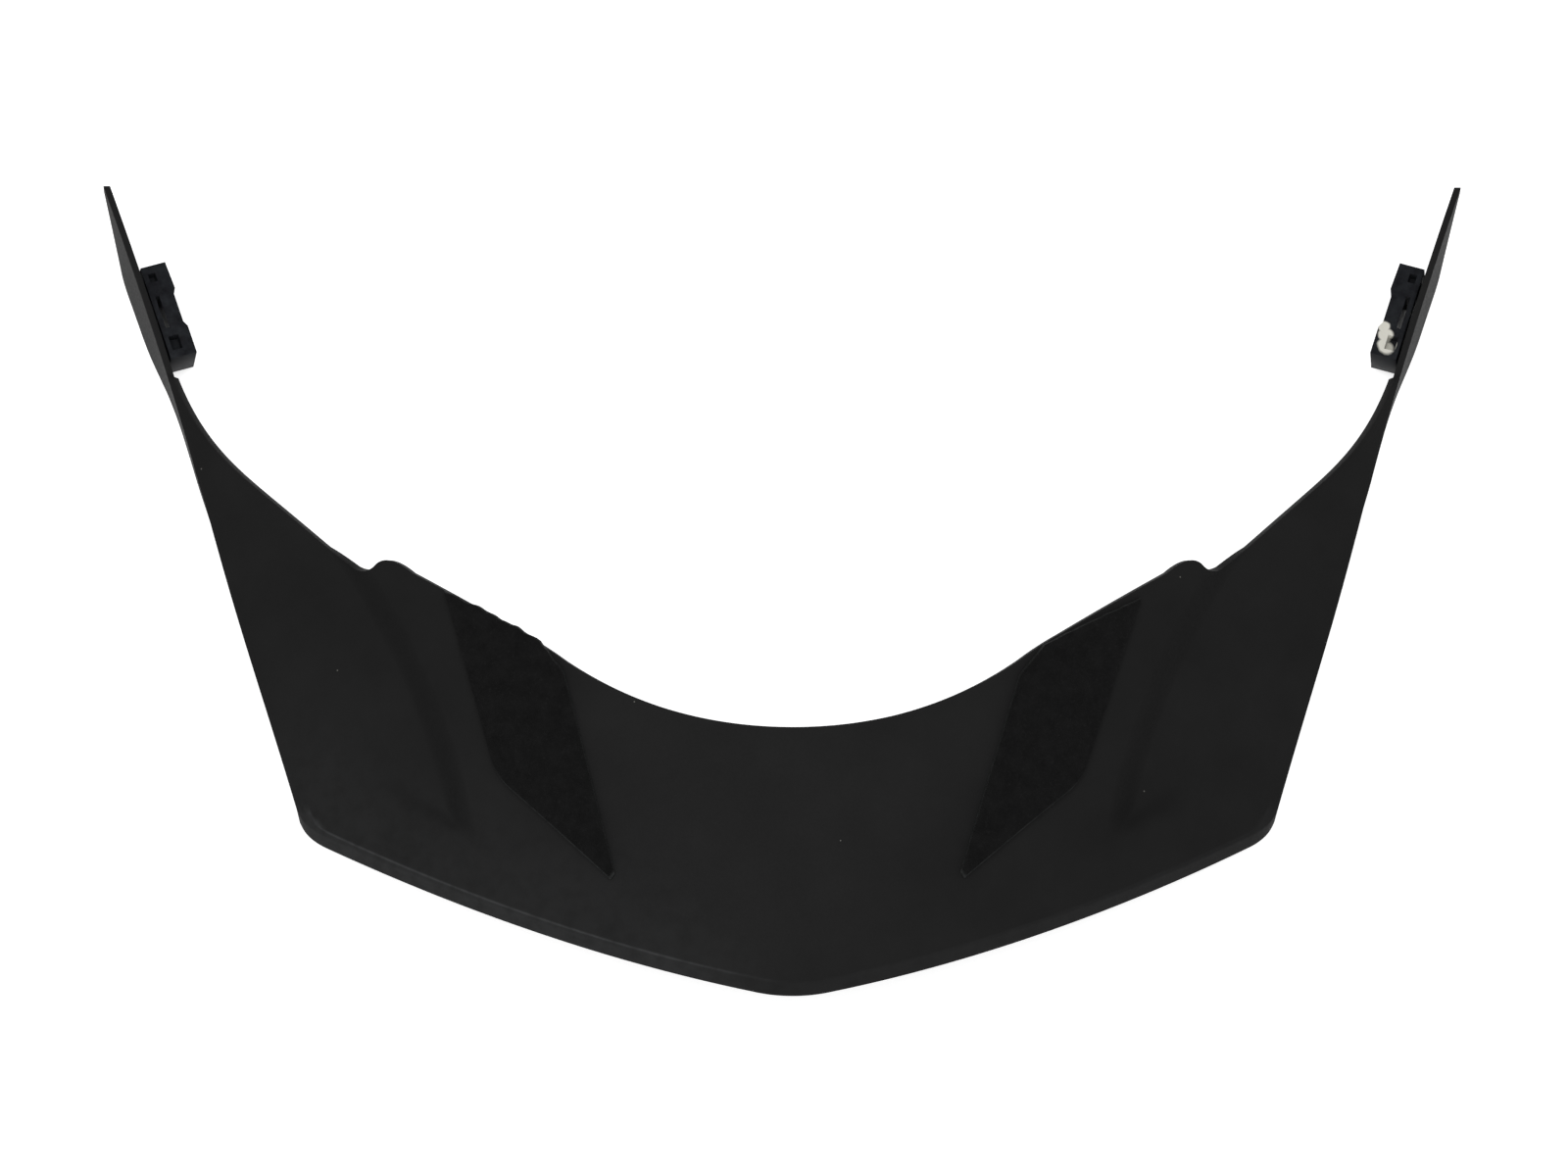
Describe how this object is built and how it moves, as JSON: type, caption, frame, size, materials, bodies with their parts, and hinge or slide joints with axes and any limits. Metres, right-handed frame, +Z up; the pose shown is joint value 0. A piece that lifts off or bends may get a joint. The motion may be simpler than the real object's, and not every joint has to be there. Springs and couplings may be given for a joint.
{
  "type": "cycling helmet visor",
  "caption": "Clip-on cycling helmet visor: a thin arched brim with a turned rim, side arms with screwed-on clips, and two felt patches.",
  "frame": {"origin": "middle of the bottom of the visor's box, on the surface it stands on", "axes": "+X towards the wearer's right, +Y back from the nose to the arm tips, +Z up"},
  "size_m": [0.2322, 0.1456, 0.0328],
  "materials": {
    "shell_plastic": "fine matt moulded texture, black",
    "clip_nylon": "satin moulded nylon, blue-black",
    "felt": "short dense pile, black",
    "adhesive_film": "thin satin film, dark grey",
    "screw_steel": "blackened steel"
  },
  "bodies": {
    "root": {"visor_shell": "shell_plastic", "patch_backing_left": "adhesive_film", "patch_backing_right": "adhesive_film", "felt_patch_left": "felt", "felt_patch_right": "felt", "clip_left": "clip_nylon", "clip_right": "clip_nylon", "clip_screw_left_front": "screw_steel", "clip_screw_left_rear": "screw_steel", "clip_screw_right_front": "screw_steel", "clip_screw_right_rear": "screw_steel"}
  },
  "joints": []
}
